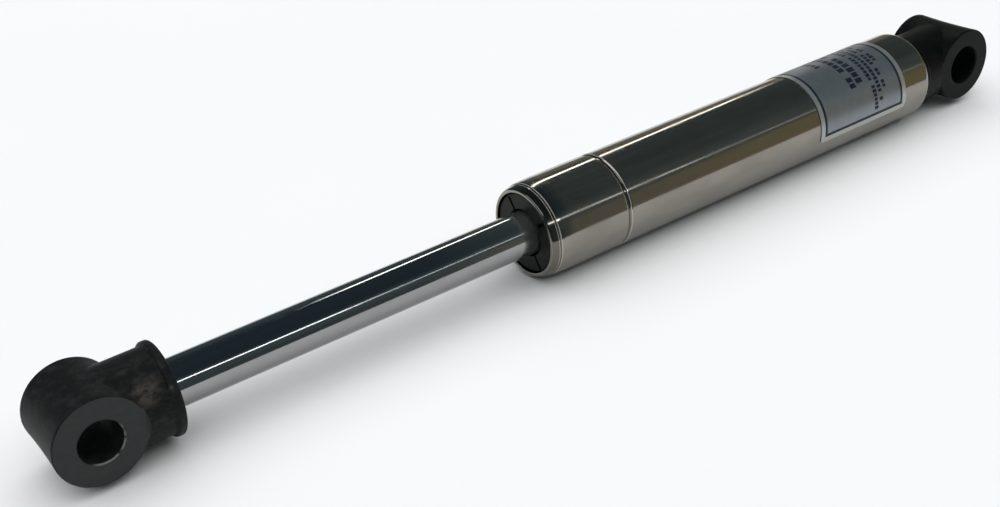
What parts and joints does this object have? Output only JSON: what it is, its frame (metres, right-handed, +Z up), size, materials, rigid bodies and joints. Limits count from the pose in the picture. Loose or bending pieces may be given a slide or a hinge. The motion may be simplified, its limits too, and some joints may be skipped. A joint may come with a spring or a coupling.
{
  "type": "gas strut stay",
  "caption": "Gas strut stay: polished rod sliding in a sealed stainless tube, with a moulded black pivot eye across each end.",
  "frame": {"origin": "centre of the tube eye's bore, on the strut's axis", "axes": "+X along the strut from the rod eye to the tube eye, +Y along both pivot bores, +Z up across the strut"},
  "size_m": [0.2586, 0.0222, 0.0222],
  "materials": {
    "polished_rod": "mirror-polished, fine lengthwise grain",
    "stainless_tube": "polished stainless with fine drawing lines",
    "black_nylon": "moulded, satin",
    "black_acetal": "turned, satin",
    "black_rubber": "matte",
    "zinc_steel": "turned, dull",
    "brass": "turned",
    "label_foil": "satin printed foil"
  },
  "bodies": {
    "tube_body": {"tube": "stainless_tube", "front_cap": "black_nylon", "rod_wiper": "black_rubber", "guide_bush": "black_acetal", "guide_o_ring": "black_rubber", "rod_lip_seal": "black_rubber", "seal_backing_washer": "zinc_steel", "base_plug": "zinc_steel", "base_plug_o_ring": "black_rubber", "tube_eye": "black_nylon", "tube_eye_insert": "brass", "label": "label_foil"},
    "piston_ring_body": {"piston_ring": "black_acetal"},
    "rod_body": {"piston_rod": "polished_rod", "rod_eye": "black_nylon", "rod_eye_insert": "brass", "piston_stop_washer": "zinc_steel", "piston": "black_acetal", "piston_back_washer": "zinc_steel", "piston_nut": "zinc_steel"}
  },
  "joints": [
    {"name": "rod_slide", "type": "slide", "parent": "tube_body", "child": "piston_ring_body", "axis": [1, 0, 0], "range_m": [0, 0.08], "stiffness_N_per_m": 375, "springref_m": -0.2667},
    {"name": "rod_spin", "type": "hinge", "parent": "piston_ring_body", "child": "rod_body", "pos_m": [-0.11, 0, 0], "axis": [1, 0, 0], "continuous": true}
  ]
}
